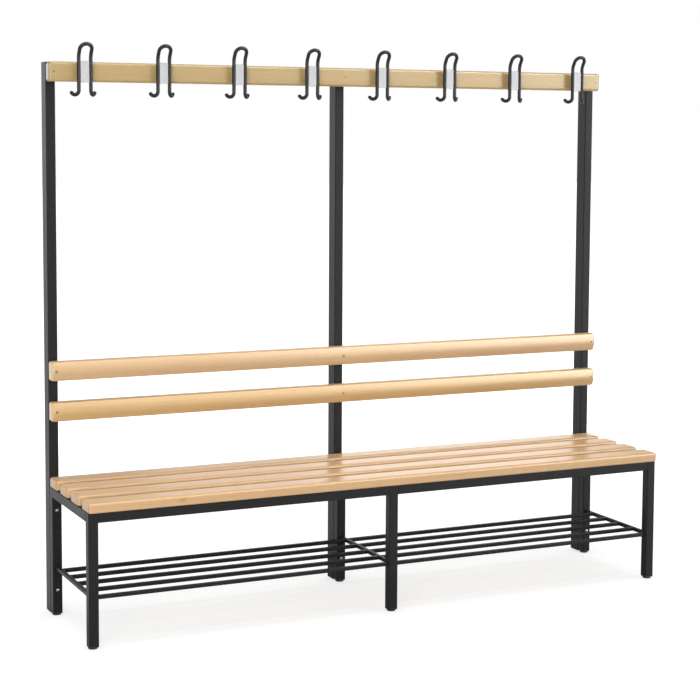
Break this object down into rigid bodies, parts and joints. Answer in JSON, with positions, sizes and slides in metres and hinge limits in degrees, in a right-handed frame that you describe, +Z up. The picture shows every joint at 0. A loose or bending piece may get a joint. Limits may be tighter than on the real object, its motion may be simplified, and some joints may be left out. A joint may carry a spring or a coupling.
{
  "type": "cloakroom bench",
  "caption": "Free-standing cloakroom bench: slatted beech seat and backrest on a steel tube frame, with a hook rail on tall uprights and a barred shoe rack.",
  "frame": {"origin": "on the floor, under the middle of the bench's bounding box", "axes": "+X along the bench to its right as seen from the front, +Y from front to back, +Z up"},
  "size_m": [1.96, 0.4816, 1.758],
  "materials": {
    "powder_coat": "anthracite fine-texture powder coat",
    "beech": "clear lacquered beech",
    "hook_coat": "dark coated steel wire",
    "holder_plastic": "pale grey moulded plastic",
    "zinc": "bright zinc plate",
    "dark_screw": "bronzed steel",
    "black_plastic": "black moulded plastic"
  },
  "bodies": {
    "frame": {"backrest_rail_lower": "beech", "backrest_rail_upper": "beech", "coat_hook_1": "hook_coat", "coat_hook_2": "hook_coat", "coat_hook_3": "hook_coat", "coat_hook_4": "hook_coat", "coat_hook_5": "hook_coat", "coat_hook_6": "hook_coat", "coat_hook_7": "hook_coat", "coat_hook_8": "hook_coat", "cross_rail_centre": "powder_coat", "cross_rail_left": "powder_coat", "cross_rail_right": "powder_coat", "frame_bolts": "zinc", "frame_nuts": "zinc", "frame_washers": "zinc", "front_leg_centre": "powder_coat", "front_leg_left": "powder_coat", "front_leg_right": "powder_coat", "front_rail_left": "powder_coat", "front_rail_right": "powder_coat", "glide_inserts": "black_plastic", "holder_screws": "zinc", "hook_holders": "holder_plastic", "hook_rail": "beech", "rack_bar_left_1": "powder_coat", "rack_bar_left_2": "powder_coat", "rack_bar_left_3": "powder_coat", "rack_bar_left_4": "powder_coat", "rack_bar_left_5": "powder_coat", "rack_bar_right_1": "powder_coat", "rack_bar_right_2": "powder_coat", "rack_bar_right_3": "powder_coat", "rack_bar_right_4": "powder_coat", "rack_bar_right_5": "powder_coat", "rack_cross_bar_centre": "powder_coat", "rack_cross_bar_left": "powder_coat", "rack_cross_bar_right": "powder_coat", "rail_screws": "dark_screw", "rear_leg_centre": "powder_coat", "rear_leg_left": "powder_coat", "rear_leg_right": "powder_coat", "rear_rail_left": "powder_coat", "rear_rail_right": "powder_coat", "seat_slat_1": "beech", "seat_slat_2": "beech", "seat_slat_3": "beech", "seat_slat_4": "beech", "slat_screws": "zinc", "upright_caps": "black_plastic", "upright_centre": "powder_coat", "upright_left": "powder_coat", "upright_right": "powder_coat"},
    "glide_front_centre": {"glide_front_centre": "black_plastic"},
    "glide_front_left": {"glide_front_left": "black_plastic"},
    "glide_front_right": {"glide_front_right": "black_plastic"},
    "glide_rear_centre": {"glide_rear_centre": "black_plastic"},
    "glide_rear_left": {"glide_rear_left": "black_plastic"},
    "glide_rear_right": {"glide_rear_right": "black_plastic"}
  },
  "joints": [
    {"name": "glide_front_centre_screw", "type": "slide", "parent": "frame", "child": "glide_front_centre", "axis": [0, 0, -1], "range_m": [0, 0.012]},
    {"name": "glide_front_left_screw", "type": "slide", "parent": "frame", "child": "glide_front_left", "axis": [0, 0, -1], "range_m": [0, 0.012]},
    {"name": "glide_front_right_screw", "type": "slide", "parent": "frame", "child": "glide_front_right", "axis": [0, 0, -1], "range_m": [0, 0.012]},
    {"name": "glide_rear_centre_screw", "type": "slide", "parent": "frame", "child": "glide_rear_centre", "axis": [0, 0, -1], "range_m": [0, 0.012]},
    {"name": "glide_rear_left_screw", "type": "slide", "parent": "frame", "child": "glide_rear_left", "axis": [0, 0, -1], "range_m": [0, 0.012]},
    {"name": "glide_rear_right_screw", "type": "slide", "parent": "frame", "child": "glide_rear_right", "axis": [0, 0, -1], "range_m": [0, 0.012]}
  ]
}
